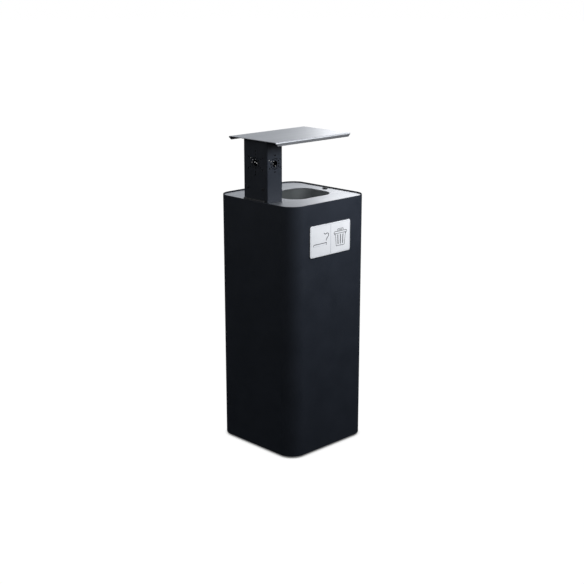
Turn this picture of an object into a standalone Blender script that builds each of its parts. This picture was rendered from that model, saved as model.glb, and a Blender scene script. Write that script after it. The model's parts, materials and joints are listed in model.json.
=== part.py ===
"""Ashtray bin: a square steel bin with a hinged, lockable lid that carries a perforated stub post
and a folded rain canopy.

Frame: metres, +Z up, origin on the floor under the centre of the body. The sign faces -Y and the
post stands at the -X edge, over the lid's hinge.
"""

import math

import bmesh
import bpy
from mathutils import Vector

# ---------------------------------------------------------------- driving dimensions (metres)
GAP = 0.0003              # clearance between pieces that touch

BODY_WIDTH = 0.300
BODY_CORNER = 0.045
BODY_BOTTOM = 0.005
RIM_Z = 0.714
WALL = 0.002
HALF = BODY_WIDTH / 2
INNER = HALF - WALL       # inner face of the body wall
FITTED = INNER - GAP      # outer face of what is welded inside that wall
CORNER_STEPS = 8
THROUGH = 0.001           # how far a cutter runs past the sheet that it cuts

FOOT_SPACING = 0.105      # feet at plus and minus this in X and Y
FOOT_RADIUS = 0.015
FOOT_COLLAR = 0.0075
STUD_RADIUS = 0.004
STUD_ABOVE = 0.0095       # stud above the base plate
FOOT_NUT = (0.0075, 0.0065)  # radius over the corners, height
BASE_Z = 0.010
BASE_THICK = 0.002
BASE_TOP = BASE_Z + BASE_THICK
BASE_CORNER = 0.042
ANCHOR_SPACING = 0.080
ANCHOR_RADIUS = 0.0055
DRAIN_RADIUS = 0.005

LID_TOP = RIM_Z - 0.0035
LID_THICK = 0.003
LID_GAP = 0.0012          # all round, to the body's inner wall
LID_BREAK = 0.0004        # broken upper edge of the lid
MOUTH_X = (-0.057, 0.105)
MOUTH_HALF_Y = 0.068
MOUTH_CORNER = 0.045
CHUTE_WALL = 0.0015
CHUTE_BOTTOM = 0.645

HINGE_RADIUS = 0.0038
HINGE_PIN_RADIUS = 0.002
HINGE_LENGTH = 0.080
PIN_SHORTER = 0.001       # than the knuckles, at each end
HINGE_KNUCKLES = 5
HINGE_LEAF = 0.0016
HINGE_X = -FITTED + HINGE_RADIUS
HINGE_Z = RIM_Z + 0.0005
HINGE_ROOM = 0.0006       # round the knuckles of the other leaf
BODY_LEAF_BOTTOM = 0.680
LID_LEAF_END = -0.1315

POST_X = (-0.1395, -0.0835)
POST_MIDDLE = sum(POST_X) / 2
POST_HALF_Y = 0.0468
POST_CORNER = 0.0035
POST_WALL = 0.003
HOLE_Z = 0.815            # centre of the stub holes
STUB_HOLE_RADIUS = 0.009
SMALL_HOLE_RADIUS = 0.00175
INNER_RING = 0.0142
OUTER_RINGS_WIDE = (0.0235, 0.0325)
OUTER_RINGS_NARROW = (0.0222,)
POST_SCREW_Y = 0.029
POST_SCREW_Z = RIM_Z + 0.033
POST_SCREW_TIP = -0.1325
BUTT_HOLE_X = (-0.129, -0.096)
BUTT_HOLE_HALF_Y = 0.036
BUTT_HOLE_CORNER = 0.008
BRACKET_THICK = 0.003
BRACKET_TAB = (0.002, 0.038, 0.009)  # thickness, half width, height over the post screws
BRACKET_SCREWS = [(POST_MIDDLE + x, y) for x in (-0.014, 0.014) for y in (-0.0402, 0.0402)]
M4_RADIUS = 0.0019
M4_HEAD = 0.0035

CANOPY_X = (-0.1515, 0.134)
CANOPY_HALF_Y = 0.093
CANOPY_TOP = 0.880
CANOPY_THICK = 0.002
CANOPY_BEND = 0.004       # outer bend radius
CANOPY_LIP = 0.0108
LIP_CHAMFER = 0.008
STUD_SPACING = 0.025
MOUNT_THICK = 0.004
CANOPY_STUD = 0.0026
CANOPY_NUT = (0.0056, 0.005)  # radius over the corners, height

SIGN_SIZE = (0.156, 0.087)
SIGN_MIDDLE = -0.005      # its centre along X
SIGN_TOP = 0.654
SIGN_THICK = 0.002
SIGN_CORNER = 0.006

LOCK_X = 0.130
LOCK_SLEEVE_RADIUS = 0.0065
LOCK_HEAD_RADIUS = 0.0078
LOCK_HEAD_HEIGHT = 0.0026
LOCK_PLUG_RADIUS = 0.0052
LOCK_NUT = (0.0108, 0.004)   # radius over the corners, height
CAM_THICK = 0.0025
CAM_HEEL = 0.0062
CAM_TIP = 0.0045
LOCK_BOTTOM = 0.688
CAM_REACH = 0.0143
CAM_SCREW = 0.0015
CAM_SCREW_HEAD = 0.0033
KEY_SLOT = (0.0014, 0.006, 0.0086)  # width, length, depth
KEEPER_EDGE = 0.1386
KEEPER_TOP = 0.6906
KEEPER_DROP = 0.026
KEEPER_HALF = 0.018

LEDGE_TOP = 0.702
LEDGE_REACH = 0.012
LEDGE_DROP = 0.022
LEDGE_HALF = 0.100
BUFFER_RADIUS = 0.0055

LINER_X = (-0.076, 0.133)
LINER_HALF_Y = 0.129
LINER_CORNER = 0.030
LINER_TOP = 0.655
LINER_WALL = 0.0012
LINER_FLOOR = 0.024
REST_X = (-0.045, 0.110)  # the two channels that the liner stands on
REST_WIDTH = 0.024
REST_HALF = 0.095
ROLL = 0.003              # rolled rim of the liner, out from its wall

ASH_X = (-0.140, -0.086)
ASH_HALF_Y = 0.060
ASH_TOP = 0.674
ASH_BOTTOM = 0.5843
ASH_WALL = 0.0012
ASH_CORNER = 0.008
CRADLE_TOP = 0.650
CRADLE_HALF = 0.040
CRADLE_LIP = 0.008
BAIL_WIRE = 0.002         # wire radius
BAIL_REACH = 0.031
BAIL_Z = 0.668

# ---------------------------------------------------------------- finishes
FINISHES = {
    "powder_coat": ((0.012, 0.014, 0.019), 0.0, 0.55),
    "stainless": ((0.56, 0.57, 0.58), 1.0, 0.38),
    "galvanised": ((0.42, 0.44, 0.46), 1.0, 0.50),
    "zinc": ((0.55, 0.55, 0.53), 1.0, 0.35),
    "black_zinc": ((0.020, 0.020, 0.022), 0.8, 0.40),
    "rubber": ((0.015, 0.015, 0.015), 0.0, 0.80),
    "sign_white": ((0.78, 0.80, 0.84), 0.0, 0.30),
}


def clear_scene():
    for found in list(bpy.data.objects):
        bpy.data.objects.remove(found, do_unlink=True)


def finish_for(name, finish):
    colour, metallic, roughness = FINISHES[finish]
    material = bpy.data.materials.new(name + "_finish")
    material.use_nodes = True
    shader = material.node_tree.nodes["Principled BSDF"]
    shader.inputs["Base Color"].default_value = (*colour, 1.0)
    shader.inputs["Metallic"].default_value = metallic
    shader.inputs["Roughness"].default_value = roughness
    return material


def add_pivot(name, place):
    pivot = bpy.data.objects.new(name, None)
    pivot.location = place
    bpy.context.scene.collection.objects.link(pivot)
    return pivot


def add_piece(name, shape, finish, pivot=None):
    """One sub-part from a bmesh in world coordinates; its origin is on its pivot."""
    if pivot:
        bmesh.ops.translate(shape, verts=shape.verts, vec=-pivot.location)
    bmesh.ops.recalc_face_normals(shape, faces=shape.faces)
    mesh = bpy.data.meshes.new(name)
    shape.to_mesh(mesh)
    shape.free()
    mesh.shade_smooth()
    mesh.set_sharp_from_angle(angle=math.radians(35))
    mesh.materials.append(finish_for(name, finish))
    piece = bpy.data.objects.new(name, mesh)
    bpy.context.scene.collection.objects.link(piece)
    piece.parent = pivot
    return piece


def boolean(piece, name, shape, operation="DIFFERENCE"):
    """Cuts the shape out of the piece, or joins it on; the tool itself stays hidden."""
    bmesh.ops.recalc_face_normals(shape, faces=shape.faces)
    mesh = bpy.data.meshes.new(name)
    shape.to_mesh(mesh)
    shape.free()
    tool = bpy.data.objects.new(name, mesh)
    tool.display_type = "WIRE"
    tool.hide_render = True
    bpy.context.scene.collection.objects.link(tool)
    modifier = piece.modifiers.new(name, "BOOLEAN")
    modifier.operation = operation
    modifier.object = tool
    return tool


# ---------------------------------------------------------------- outlines and solids
def rounded_rect(x_range, y_range, radius, steps=CORNER_STEPS):
    """Points of a rectangle with round corners, anticlockwise."""
    (left, right), (front, back) = x_range, y_range
    centres = (
        (right - radius, back - radius),
        (left + radius, back - radius),
        (left + radius, front + radius),
        (right - radius, front + radius),
    )
    points = []
    for corner, (x, y) in enumerate(centres):
        for step in range(steps + 1):
            angle = math.radians(90 * corner + 90 * step / steps)
            points.append((x + radius * math.cos(angle), y + radius * math.sin(angle)))
    return points


def circle(x, y, radius, sides, turn=0.0):
    angles = (turn + 2 * math.pi * side / sides for side in range(sides))
    return [(x + radius * math.cos(angle), y + radius * math.sin(angle)) for angle in angles]


ALONG = {
    "X": lambda u, v, w: (w, u, v),
    "Y": lambda u, v, w: (u, w, v),
    "Z": lambda u, v, w: (u, v, w),
}


def add_prism(shape, outline, low, high, along="Z"):
    """A closed prism on an outline: (y, z) along X, (x, z) along Y, (x, y) along Z."""
    place = ALONG[along]
    ends = [[shape.verts.new(place(u, v, w)) for u, v in outline] for w in (low, high)]
    shape.faces.new(ends[0])
    shape.faces.new(ends[1])
    for here in range(len(outline)):
        after = (here + 1) % len(outline)
        shape.faces.new((ends[0][here], ends[0][after], ends[1][after], ends[1][here]))


def prism(outline, low, high, along="Z"):
    shape = bmesh.new()
    add_prism(shape, outline, low, high, along)
    return shape


def box(x_range, y_range, z_range):
    (left, right), (front, back) = x_range, y_range
    return prism([(left, front), (right, front), (right, back), (left, back)], *z_range)


def cylinders(holes, low, high, along, sides=8):
    """One tool with a cylinder for each (u, v, radius), all between low and high."""
    shape = bmesh.new()
    for u, v, radius in holes:
        count = 24 if radius > 2 * SMALL_HOLE_RADIUS else sides
        add_prism(shape, circle(u, v, radius, count), low, high, along)
    return shape


def lofted(loops, closed):
    """Skins equal loops of points; a closed loft is a ring, an open one is capped at both ends."""
    shape = bmesh.new()
    rows = [[shape.verts.new(point) for point in loop] for loop in loops]
    pairs = list(zip(rows, rows[1:]))
    if closed:
        pairs.append((rows[-1], rows[0]))
    for lower, upper in pairs:
        for here in range(len(lower)):
            after = (here + 1) % len(lower)
            shape.faces.new((lower[here], lower[after], upper[after], upper[here]))
    if not closed:
        shape.faces.new(rows[0])
        shape.faces.new(rows[-1])
    return shape


def swept_rect(profile, x_range, y_range, radius, closed, steps=CORNER_STEPS):
    """Carries a profile of (outward offset, height) round a rectangle with round corners."""
    loops = []
    for out, height in profile:
        outline = rounded_rect(
            (x_range[0] - out, x_range[1] + out),
            (y_range[0] - out, y_range[1] + out),
            radius + out,
            steps,
        )
        loops.append([(x, y, height) for x, y in outline])
    return lofted(loops, closed)


def turned(profile, x, y, sides):
    """Turns a profile of (radius, height) round the vertical through x, y; both ends are capped."""
    loops = []
    for radius, height in profile:
        loops.append([(u, v, height) for u, v in circle(x, y, radius, sides)])
    return lofted(loops, False)


def tube(x, z, outer, inner, low, high, sides):
    """A tube along Y."""
    loops = []
    for radius, y in ((outer, low), (outer, high), (inner, high), (inner, low)):
        loops.append([(u, y, v) for u, v in circle(x, z, radius, sides)])
    return lofted(loops, True)


# ---------------------------------------------------------------- body

def make_body_shell():
    profile = ((0, BODY_BOTTOM), (0, RIM_Z), (-WALL, RIM_Z), (-WALL, BODY_BOTTOM))
    shape = swept_rect(profile, (-HALF, HALF), (-HALF, HALF), BODY_CORNER, True)
    add_piece("body_shell", shape, "powder_coat")


def corner_places(spacing):
    return [(x, y) for x in (-spacing, spacing) for y in (-spacing, spacing)]


def make_base():
    profile = ((0, BASE_Z), (0, BASE_TOP))
    span = (-FITTED, FITTED)
    shape = swept_rect(profile, span, span, BASE_CORNER, False)
    plate = add_piece("base_plate", shape, "galvanised")
    holes = [(x, y, STUD_RADIUS + 0.0006) for x, y in corner_places(FOOT_SPACING)]
    holes += [(x, 0, ANCHOR_RADIUS) for x in (-ANCHOR_SPACING, ANCHOR_SPACING)]
    holes += [(0, y, DRAIN_RADIUS) for y in (-ANCHOR_SPACING, ANCHOR_SPACING)]
    cutter = cylinders(holes, BASE_Z - THROUGH, BASE_TOP + THROUGH, "Z", 16)
    boolean(plate, "base_holes", cutter)


def make_feet():
    """Rubber-footed levelling studs through the base plate, each held by a nut above it."""
    collar_top = BASE_Z - GAP
    stud_top = BASE_TOP + STUD_ABOVE
    nut_low = BASE_TOP + GAP
    nut_high = nut_low + FOOT_NUT[1]
    for number, (x, y) in enumerate(corner_places(FOOT_SPACING), 1):
        pad = (
            (FOOT_RADIUS - 0.001, 0.0),
            (FOOT_RADIUS, 0.001),
            (FOOT_RADIUS, 0.005),
            (FOOT_RADIUS - 0.002, 0.0065),
            (FOOT_COLLAR, 0.0075),
            (FOOT_COLLAR, collar_top),
            (STUD_RADIUS, collar_top),
            (STUD_RADIUS, stud_top),
        )
        add_piece(f"levelling_foot_{number}", turned(pad, x, y, 20), "rubber")
        outline = circle(x, y, FOOT_NUT[0], 6)
        nut = add_piece(f"foot_nut_{number}", prism(outline, nut_low, nut_high), "zinc")
        hole = [(x, y, STUD_RADIUS + GAP)]
        bore = cylinders(hole, nut_low - THROUGH, nut_high + THROUGH, "Z", 16)
        boolean(nut, f"foot_nut_bore_{number}", bore)


def make_ledges():
    """Angle strips inside the front and back walls, and the rubber buffers the lid rests on."""
    inner = FITTED - LEDGE_REACH
    outline = (
        (FITTED, LEDGE_TOP),
        (inner, LEDGE_TOP),
        (inner, LEDGE_TOP - WALL),
        (FITTED - WALL, LEDGE_TOP - WALL),
        (FITTED - WALL, LEDGE_TOP - LEDGE_DROP),
        (FITTED, LEDGE_TOP - LEDGE_DROP),
    )
    buffer_low = LEDGE_TOP + GAP
    buffer_high = LID_TOP - LID_THICK - GAP
    for side, name in ((-1, "front"), (1, "back")):
        section = [(side * y, z) for y, z in outline]
        strip = prism(section, -LEDGE_HALF, LEDGE_HALF, "X")
        add_piece(f"lid_ledge_{name}", strip, "powder_coat")
        for end, tag in ((-1, "hinge_side"), (1, "lock_side")):
            x = end * (LEDGE_HALF - LEDGE_REACH)
            y = side * (inner + LEDGE_REACH / 2)
            profile = (
                (BUFFER_RADIUS, buffer_low),
                (BUFFER_RADIUS, buffer_high - 0.0006),
                (BUFFER_RADIUS - 0.0005, buffer_high),
            )
            add_piece(f"lid_buffer_{name}_{tag}", turned(profile, x, y, 16), "rubber")


def make_keeper():
    """The catch under which the lock's cam turns, on the wall opposite the hinge."""
    outline = (
        (KEEPER_EDGE, KEEPER_TOP - WALL),
        (FITTED - WALL, KEEPER_TOP - WALL),
        (FITTED - WALL, KEEPER_TOP - KEEPER_DROP),
        (FITTED, KEEPER_TOP - KEEPER_DROP),
        (FITTED, KEEPER_TOP),
        (KEEPER_EDGE, KEEPER_TOP),
    )
    add_piece("lock_keeper", prism(outline, -KEEPER_HALF, KEEPER_HALF, "Y"), "galvanised")


def make_liner_rests():
    """Two upturned channels on the base plate that lift the liner clear of the foot nuts."""
    low = BASE_TOP + GAP
    high = LINER_FLOOR - GAP
    half = REST_WIDTH / 2
    for number, x in enumerate(REST_X, 1):
        outline = (
            (x - half, low),
            (x - half + WALL, low),
            (x - half + WALL, high - WALL),
            (x + half - WALL, high - WALL),
            (x + half - WALL, low),
            (x + half, low),
            (x + half, high),
            (x - half, high),
        )
        add_piece(f"liner_rest_{number}", prism(outline, -REST_HALF, REST_HALF, "Y"), "galvanised")


def make_sign():
    half_width = SIGN_SIZE[0] / 2
    across = (SIGN_MIDDLE - half_width, SIGN_MIDDLE + half_width)
    upright = (SIGN_TOP - SIGN_SIZE[1], SIGN_TOP)
    outline = rounded_rect(across, upright, SIGN_CORNER, 6)
    front = -HALF - GAP - SIGN_THICK
    add_piece("sign_plate", prism(outline, front, front + SIGN_THICK, "Y"), "sign_white")


# ---------------------------------------------------------------- hinge
def knuckle_spans():
    """Start and end of each knuckle along Y; even ones belong to the body, odd ones to the lid."""
    pitch = HINGE_LENGTH / HINGE_KNUCKLES
    start = -HINGE_LENGTH / 2
    return [
        (start + index * pitch + GAP, start + (index + 1) * pitch - GAP)
        for index in range(HINGE_KNUCKLES)
    ]


def add_knuckles(leaf, name, spans):
    bore = HINGE_PIN_RADIUS + GAP
    for index, (low, high) in enumerate(spans):
        knuckle = tube(HINGE_X, HINGE_Z, HINGE_RADIUS, bore, low, high, 20)
        boolean(leaf, f"{name}_knuckle_{index}", knuckle, "UNION")


def clear_for(leaf, name, spans):
    """Cuts the leaf away where the other leaf's knuckles turn."""
    room = HINGE_RADIUS + HINGE_ROOM
    for index, (low, high) in enumerate(spans):
        outline = circle(HINGE_X, HINGE_Z, room, 20)
        slot = prism(outline, low - 2 * GAP, high + 2 * GAP, "Y")
        boolean(leaf, f"{name}_slot_{index}", slot)


def make_hinge(lid_pivot):
    spans = knuckle_spans()
    half = HINGE_LENGTH / 2 - GAP
    bore_shape = circle(HINGE_X, HINGE_Z, HINGE_PIN_RADIUS + GAP, 20)

    wall_face = HINGE_X - HINGE_RADIUS
    body_plate = box((wall_face, wall_face + HINGE_LEAF), (-half, half), (BODY_LEAF_BOTTOM, HINGE_Z))
    body_leaf = add_piece("hinge_leaf_body", body_plate, "black_zinc")
    clear_for(body_leaf, "body_leaf", spans[1::2])
    add_knuckles(body_leaf, "body_leaf", spans[0::2])

    web = HINGE_X + HINGE_RADIUS
    top = LID_TOP - LID_THICK - GAP
    outline = (
        (web - HINGE_LEAF, HINGE_Z),
        (web - HINGE_LEAF, top - HINGE_LEAF),
        (LID_LEAF_END, top - HINGE_LEAF),
        (LID_LEAF_END, top),
        (web, top),
        (web, HINGE_Z),
    )
    lid_leaf = add_piece("hinge_leaf_lid", prism(outline, -half, half, "Y"), "black_zinc", lid_pivot)
    clear_for(lid_leaf, "lid_leaf", spans[0::2])
    add_knuckles(lid_leaf, "lid_leaf", spans[1::2])

    for leaf, name in ((body_leaf, "body_leaf"), (lid_leaf, "lid_leaf")):
        boolean(leaf, f"{name}_bore", prism(bore_shape, -half - THROUGH, half + THROUGH, "Y"))

    pin = circle(HINGE_X, HINGE_Z, HINGE_PIN_RADIUS, 16)
    reach = half - PIN_SHORTER
    add_piece("hinge_pin", prism(pin, -reach, reach, "Y"), "black_zinc")


# ---------------------------------------------------------------- lid and chute
def butt_hole_outline():
    span_y = (-BUTT_HOLE_HALF_Y, BUTT_HOLE_HALF_Y)
    return rounded_rect(BUTT_HOLE_X, span_y, BUTT_HOLE_CORNER, 4)


def make_lid(lid_pivot):
    half = INNER - LID_GAP
    bottom = LID_TOP - LID_THICK
    profile = ((0, bottom), (0, LID_TOP - LID_BREAK), (-LID_BREAK, LID_TOP))
    corner = BODY_CORNER - WALL - LID_GAP
    shape = swept_rect(profile, (-half, half), (-half, half), corner, False)
    lid = add_piece("lid_plate", shape, "stainless", lid_pivot)
    low, high = bottom - THROUGH, LID_TOP + THROUGH

    mouth = rounded_rect(MOUTH_X, (-MOUTH_HALF_Y, MOUTH_HALF_Y), MOUTH_CORNER, 10)
    boolean(lid, "lid_mouth", prism(mouth, low, high))
    boolean(lid, "lid_butt_hole", prism(butt_hole_outline(), low, high))
    notch_half = HINGE_LENGTH / 2 + THROUGH
    notch_edge = HINGE_X + HINGE_RADIUS + HINGE_ROOM
    notch = box((-HALF, notch_edge), (-notch_half, notch_half), (low, high))
    boolean(lid, "lid_hinge_notch", notch)
    screw_holes = [(x, y, M4_RADIUS + 0.0005) for x, y in BRACKET_SCREWS]
    boolean(lid, "lid_screw_holes", cylinders(screw_holes, low, high, "Z", 12))
    lock_hole = circle(LOCK_X, 0, LOCK_SLEEVE_RADIUS + GAP, 24)
    boolean(lid, "lid_lock_hole", prism(lock_hole, low, high))


def make_chute(lid_pivot):
    """The skirt that guides waste into the liner, flush with the edge of the mouth."""
    top = LID_TOP - LID_THICK - GAP
    profile = ((CHUTE_WALL, CHUTE_BOTTOM), (CHUTE_WALL, top), (0, top), (0, CHUTE_BOTTOM))
    span_y = (-MOUTH_HALF_Y, MOUTH_HALF_Y)
    shape = swept_rect(profile, MOUTH_X, span_y, MOUTH_CORNER, True, 10)
    add_piece("waste_chute", shape, "galvanised", lid_pivot)


# ---------------------------------------------------------------- stub post
def sun_pattern(outer_rings):
    """A stub hole with a ring of twelve small holes, and six rays of further ones."""
    holes = [(0.0, 0.0, STUB_HOLE_RADIUS)]
    for count, ring in [(12, INNER_RING)] + [(6, ring) for ring in outer_rings]:
        for index in range(count):
            angle = math.pi / 2 + 2 * math.pi * index / count
            holes.append((ring * math.cos(angle), ring * math.sin(angle), SMALL_HOLE_RADIUS))
    return holes


def make_post(lid_pivot):
    low, high = LID_TOP + GAP, CANOPY_TOP - CANOPY_THICK - GAP
    profile = ((0, low), (0, high), (-POST_WALL, high), (-POST_WALL, low))
    span_y = (-POST_HALF_Y, POST_HALF_Y)
    shape = swept_rect(profile, POST_X, span_y, POST_CORNER, True, 4)
    post = add_piece("stub_post", shape, "powder_coat", lid_pivot)
    wide = [(y, HOLE_Z + z, r) for y, z, r in sun_pattern(OUTER_RINGS_WIDE)]
    narrow = [(POST_MIDDLE + x, HOLE_Z + z, r) for x, z, r in sun_pattern(OUTER_RINGS_NARROW)]
    screws = [(y, POST_SCREW_Z, M4_RADIUS + 0.0002) for y in (-POST_SCREW_Y, POST_SCREW_Y)]
    left, right = POST_X[0] - THROUGH, POST_X[1] + THROUGH
    side = POST_HALF_Y + THROUGH
    boolean(post, "wide_holes", cylinders(wide, left, right, "X"))
    boolean(post, "narrow_holes", cylinders(narrow, -side, side, "Y"))
    boolean(post, "post_screw_holes", cylinders(screws, left, POST_MIDDLE, "X", 12))


def inside_post():
    """The X range and half the Y range of what fits inside the post."""
    inset = POST_WALL + GAP
    return (POST_X[0] + inset, POST_X[1] - inset), POST_HALF_Y - inset


def make_post_bracket(lid_pivot):
    """A frame screwed to the lid inside the foot of the post, with a tab that the post is fixed to."""
    span_x, half_y = inside_post()
    low = LID_TOP + GAP
    high = low + BRACKET_THICK
    frame = box(span_x, (-half_y, half_y), (low, high))
    bracket = add_piece("post_bracket", frame, "galvanised", lid_pivot)
    tab_thick, tab_half, tab_above = BRACKET_TAB
    tab_x = (span_x[0], span_x[0] + tab_thick)
    tab = box(tab_x, (-tab_half, tab_half), (low, POST_SCREW_Z + tab_above))
    boolean(bracket, "bracket_tab", tab, "UNION")
    opening = prism(butt_hole_outline(), low - THROUGH, high + THROUGH)
    boolean(bracket, "bracket_opening", opening)
    below = [(x, y, M4_RADIUS + 0.0004) for x, y in BRACKET_SCREWS]
    cutter = cylinders(below, low - THROUGH, high + THROUGH, "Z", 12)
    boolean(bracket, "bracket_screw_holes", cutter)
    tapped = [(y, POST_SCREW_Z, M4_RADIUS + 0.0001) for y in (-POST_SCREW_Y, POST_SCREW_Y)]
    boolean(bracket, "bracket_tapped_holes", cylinders(tapped, POST_X[0], POST_MIDDLE, "X", 12))

    head_top = LID_TOP - LID_THICK - GAP
    for number, (x, y) in enumerate(BRACKET_SCREWS, 1):
        profile = (
            (M4_HEAD - 0.0007, head_top - 0.0024),
            (M4_HEAD, head_top - 0.0014),
            (M4_HEAD, head_top),
            (M4_RADIUS, head_top),
            (M4_RADIUS, high - GAP),
        )
        add_piece(f"bracket_screw_{number}", turned(profile, x, y, 12), "zinc", lid_pivot)


def make_post_screws(lid_pivot):
    """Button heads on the outer face of the post, with shanks through the post and the tab."""
    face = POST_X[0] - GAP
    profile = (
        (M4_HEAD - 0.0013, face - 0.0018),
        (M4_HEAD - 0.0001, face - 0.0012),
        (M4_HEAD + 0.0002, face - 0.0004),
        (M4_HEAD + 0.0002, face),
        (M4_RADIUS - GAP, face),
        (M4_RADIUS - GAP, POST_SCREW_TIP),
    )
    for name, side in (("front", -1), ("back", 1)):
        centre_y = side * POST_SCREW_Y
        loops = []
        for radius, x in profile:
            loops.append([(x, y, z) for y, z in circle(centre_y, POST_SCREW_Z, radius, 16)])
        add_piece(f"post_screw_{name}", lofted(loops, False), "black_zinc", lid_pivot)


# ---------------------------------------------------------------- canopy
def canopy_section():
    """Half of the folded sheet's section in Y and Z, from the middle out, round and down the lip."""
    steps = 6
    bend_y = CANOPY_HALF_Y - CANOPY_BEND
    bend_z = CANOPY_TOP - CANOPY_BEND
    lip_z = CANOPY_TOP - CANOPY_LIP
    outer, inner = [], []
    for step in range(steps + 1):
        angle = math.pi / 2 * (1 - step / steps)
        across, up = math.cos(angle), math.sin(angle)
        outer.append((bend_y + CANOPY_BEND * across, bend_z + CANOPY_BEND * up))
        small = CANOPY_BEND - CANOPY_THICK
        inner.append((bend_y + small * across, bend_z + small * up))
    outer.append((CANOPY_HALF_Y, lip_z))
    inner.append((CANOPY_HALF_Y - CANOPY_THICK, lip_z))
    return outer, inner


def make_canopy(lid_pivot):
    """A sheet with both long edges folded down and the ends of the folds cut back at a slant."""
    outer, inner = canopy_section()
    right = outer + inner[::-1]
    left = [(-y, z) for y, z in inner + outer[::-1]]
    shape = prism(right + left, CANOPY_X[0], CANOPY_X[1], "X")
    canopy = add_piece("rain_canopy", shape, "stainless", lid_pivot)
    start = CANOPY_TOP - CANOPY_THICK - THROUGH
    low = start - CANOPY_LIP
    reach = LIP_CHAMFER * CANOPY_LIP / (CANOPY_LIP - CANOPY_THICK - THROUGH)
    side = CANOPY_HALF_Y + THROUGH
    for name, end, inward in (("left", CANOPY_X[0], 1), ("right", CANOPY_X[1], -1)):
        outside = end - inward * THROUGH
        outline = ((end, start), (end + inward * reach, low), (outside, low), (outside, start))
        boolean(canopy, f"canopy_chamfer_{name}", prism(outline, -side, side, "Y"))


def make_canopy_mount(lid_pivot):
    """A plate welded into the top of the post, and the studs and nuts that hold the canopy to it."""
    span_x, half_y = inside_post()
    under = CANOPY_TOP - CANOPY_THICK - GAP
    top = under - 2 * GAP
    bottom = top - MOUNT_THICK
    plate = box(span_x, (-half_y, half_y), (bottom, top))
    mount = add_piece("canopy_mount_plate", plate, "galvanised", lid_pivot)
    places = [(POST_MIDDLE, -STUD_SPACING), (POST_MIDDLE, STUD_SPACING)]
    holes = [(x, y, CANOPY_STUD + 0.0005) for x, y in places]
    cutter = cylinders(holes, bottom - THROUGH, top + THROUGH, "Z", 16)
    boolean(mount, "mount_holes", cutter)
    nut_radius, nut_height = CANOPY_NUT
    nut_top = bottom - GAP
    nut_low = nut_top - nut_height
    for number, (x, y) in enumerate(places, 1):
        stud = prism(circle(x, y, CANOPY_STUD, 14), nut_low - 0.004, under)
        add_piece(f"canopy_stud_{number}", stud, "zinc", lid_pivot)
        nut = prism(circle(x, y, nut_radius, 6), nut_low, nut_top)
        nut_piece = add_piece(f"canopy_nut_{number}", nut, "zinc", lid_pivot)
        bore = cylinders([(x, y, CANOPY_STUD + GAP)], nut_low - THROUGH, nut_top + THROUGH, "Z", 14)
        boolean(nut_piece, f"canopy_nut_bore_{number}", bore)


# ---------------------------------------------------------------- cam lock
def make_lock(lid_pivot, lock_pivot):
    seat = LID_TOP + GAP
    head_top = seat + LOCK_HEAD_HEIGHT
    sleeve_profile = (
        (LOCK_SLEEVE_RADIUS, LOCK_BOTTOM),
        (LOCK_SLEEVE_RADIUS, seat),
        (LOCK_HEAD_RADIUS, seat),
        (LOCK_HEAD_RADIUS, head_top - 0.001),
        (LOCK_HEAD_RADIUS - 0.001, head_top),
        (LOCK_PLUG_RADIUS + GAP, head_top),
        (LOCK_PLUG_RADIUS + GAP, LOCK_BOTTOM),
    )
    loops = []
    for radius, height in sleeve_profile:
        loops.append([(x, y, height) for x, y in circle(LOCK_X, 0, radius, 24)])
    add_piece("lock_sleeve", lofted(loops, True), "black_zinc", lid_pivot)

    nut_top = LID_TOP - LID_THICK - GAP
    nut_radius, nut_height = LOCK_NUT
    nut_low = nut_top - nut_height
    hexagon = prism(circle(LOCK_X, 0, nut_radius, 6, math.pi / 6), nut_low, nut_top)
    nut = add_piece("lock_nut", hexagon, "zinc", lid_pivot)
    bore = circle(LOCK_X, 0, LOCK_SLEEVE_RADIUS + GAP, 24)
    boolean(nut, "lock_nut_bore", prism(bore, nut_low - THROUGH, nut_top + THROUGH))

    cam_top = LOCK_BOTTOM - 2 * GAP
    plug_profile = (
        (LOCK_PLUG_RADIUS, cam_top + GAP),
        (LOCK_PLUG_RADIUS, head_top),
        (LOCK_PLUG_RADIUS - 0.0005, head_top + 0.0005),
    )
    plug = add_piece("lock_plug", turned(plug_profile, LOCK_X, 0, 24), "black_zinc", lock_pivot)
    slot_x = (LOCK_X - KEY_SLOT[0] / 2, LOCK_X + KEY_SLOT[0] / 2)
    slot_y = (-KEY_SLOT[1] / 2, KEY_SLOT[1] / 2)
    slot_z = (head_top - KEY_SLOT[2], head_top + 2 * THROUGH)
    boolean(plug, "key_slot", box(slot_x, slot_y, slot_z))
    tapped = circle(LOCK_X, 0, CAM_SCREW + GAP, 12)
    boolean(plug, "plug_tapped_hole", prism(tapped, cam_top - THROUGH, cam_top + 0.007))

    cam_low = cam_top - CAM_THICK
    outline = []
    for centre_y, radius, start in ((0.0, CAM_HEEL, -math.pi), (CAM_REACH - CAM_TIP, CAM_TIP, 0.0)):
        for step in range(9):
            angle = start + math.pi * step / 8
            outline.append((LOCK_X + radius * math.cos(angle), centre_y + radius * math.sin(angle)))
    cam = add_piece("lock_cam", prism(outline, cam_low, cam_top), "zinc", lock_pivot)
    cam_hole = circle(LOCK_X, 0, CAM_SCREW + 0.0004, 12)
    boolean(cam, "cam_hole", prism(cam_hole, cam_low - THROUGH, cam_top + THROUGH))
    screw_profile = (
        (CAM_SCREW_HEAD - 0.0007, cam_low - 0.0024),
        (CAM_SCREW_HEAD, cam_low - 0.0016),
        (CAM_SCREW_HEAD, cam_low - GAP),
        (CAM_SCREW, cam_low - GAP),
        (CAM_SCREW, cam_top + 0.006),
    )
    add_piece("cam_screw", turned(screw_profile, LOCK_X, 0, 12), "zinc", lock_pivot)


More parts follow.
